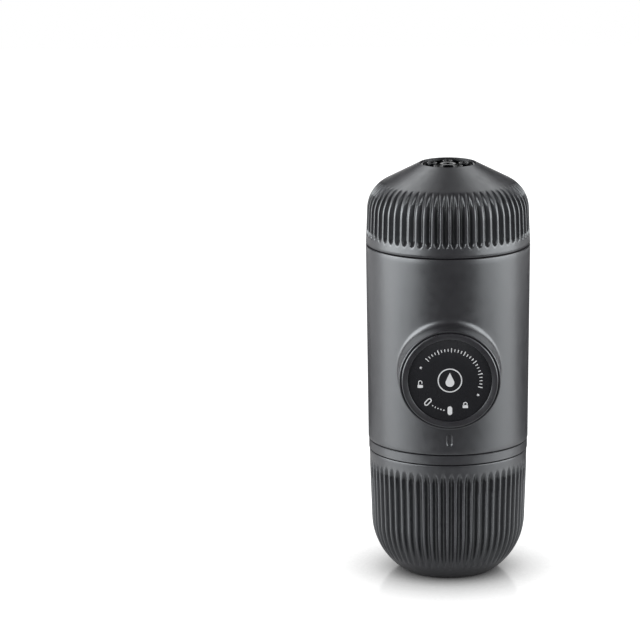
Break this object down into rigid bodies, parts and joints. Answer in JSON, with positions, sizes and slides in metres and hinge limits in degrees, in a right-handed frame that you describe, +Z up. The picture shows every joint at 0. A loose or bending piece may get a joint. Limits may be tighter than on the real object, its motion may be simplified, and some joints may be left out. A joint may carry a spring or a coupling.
{
  "type": "handheld manual espresso maker",
  "caption": "Hand-pumped portable espresso maker: fluted cup over a screwed water tank, pump body with a twist-lock side dial, and a fluted screw-off brew head.",
  "frame": {"origin": "centre of the flat foot of the cup, on the surface that the maker stands on", "axes": "+Z up through the cup, tank, pump body and brew head; -Y towards the front of the pump dial; +X to the right of the dial"},
  "size_m": [0.0614, 0.0712, 0.1561],
  "materials": {
    "grey_shell": "fine satin moulded grey",
    "dial_rim": "satin dark grey",
    "dial_black": "soft gloss black",
    "white_marks": "white inlay",
    "nozzle_black": "polished black",
    "frame_plastic": "moulded black",
    "steel": "stainless",
    "spring_steel": "drawn wire",
    "silicone": "matt red silicone"
  },
  "bodies": {
    "cup": {"portable_cup": "grey_shell"},
    "tank": {"water_tank": "grey_shell"},
    "tank_seal": {"tank_gasket": "silicone"},
    "main_body": {"body_casing": "grey_shell", "chassis": "frame_plastic", "casing_screws": "steel", "pump_cylinder": "steel", "cylinder_seal": "silicone", "cylinder_cap": "frame_plastic", "lock_sleeve": "frame_plastic", "sleeve_screws": "steel", "pump_spring": "spring_steel", "inlet_seat": "frame_plastic", "inlet_spring": "spring_steel", "outlet_spring": "spring_steel", "outlet_retainer": "frame_plastic", "vent_valve": "silicone", "shower_plate": "frame_plastic", "shower_screen": "steel", "shower_screw": "steel", "group_gasket": "silicone"},
    "piston": {"piston_head": "frame_plastic", "piston_seal": "silicone", "piston_rod": "steel", "dial_screw": "steel"},
    "dial": {"dial_knob": "dial_rim", "dial_disc": "dial_black", "dial_marks": "white_marks"},
    "inlet_valve": {"inlet_poppet": "silicone"},
    "outlet_valve": {"outlet_poppet": "silicone"},
    "basket": {"filter_basket": "steel"},
    "head": {"head_shell": "grey_shell", "head_liner": "frame_plastic", "head_gasket": "silicone", "nozzle_insert": "nozzle_black"}
  },
  "joints": [
    {"name": "cup_pull", "type": "slide", "parent": "cup", "child": "tank", "axis": [0, 0, 1], "range_m": [0, 0.048]},
    {"name": "body_lift", "type": "slide", "parent": "tank", "child": "tank_seal", "axis": [0, 0, 1], "range_m": [0, 0.0091]},
    {"name": "body_unscrew", "type": "hinge", "parent": "tank_seal", "child": "main_body", "pos_m": [0, 0, 0.055], "axis": [0, 0, 1], "range_deg": [0, 270]},
    {"name": "head_lift", "type": "slide", "parent": "main_body", "child": "basket", "axis": [0, 0, 1], "range_m": [0, 0.0056]},
    {"name": "head_unscrew", "type": "hinge", "parent": "basket", "child": "head", "pos_m": [0, 0, 0.128], "axis": [0, 0, 1], "range_deg": [0, 165]},
    {"name": "pump_stroke", "type": "slide", "parent": "main_body", "child": "piston", "axis": [0, -1, 0], "range_m": [0, 0.014], "deforming": ["pump_spring"]},
    {"name": "dial_twist", "type": "hinge", "parent": "piston", "child": "dial", "pos_m": [0, -0.03, 0.0821], "axis": [0, -1, 0], "range_deg": [0, 45]},
    {"name": "inlet_lift", "type": "slide", "parent": "main_body", "child": "inlet_valve", "axis": [0, 0, 1], "range_m": [0, 0.001], "stiffness_N_per_m": 20, "springref_m": -0.001, "deforming": ["inlet_spring"]},
    {"name": "outlet_lift", "type": "slide", "parent": "main_body", "child": "outlet_valve", "axis": [0, 0, 1], "range_m": [0, 0.001], "stiffness_N_per_m": 20, "springref_m": -0.001, "deforming": ["outlet_spring"]}
  ],
  "couplings": [
    {"joint": "body_lift", "follows": "body_unscrew", "m_per_rad": 0.0019099},
    {"joint": "head_lift", "follows": "head_unscrew", "m_per_rad": 0.0019099}
  ]
}
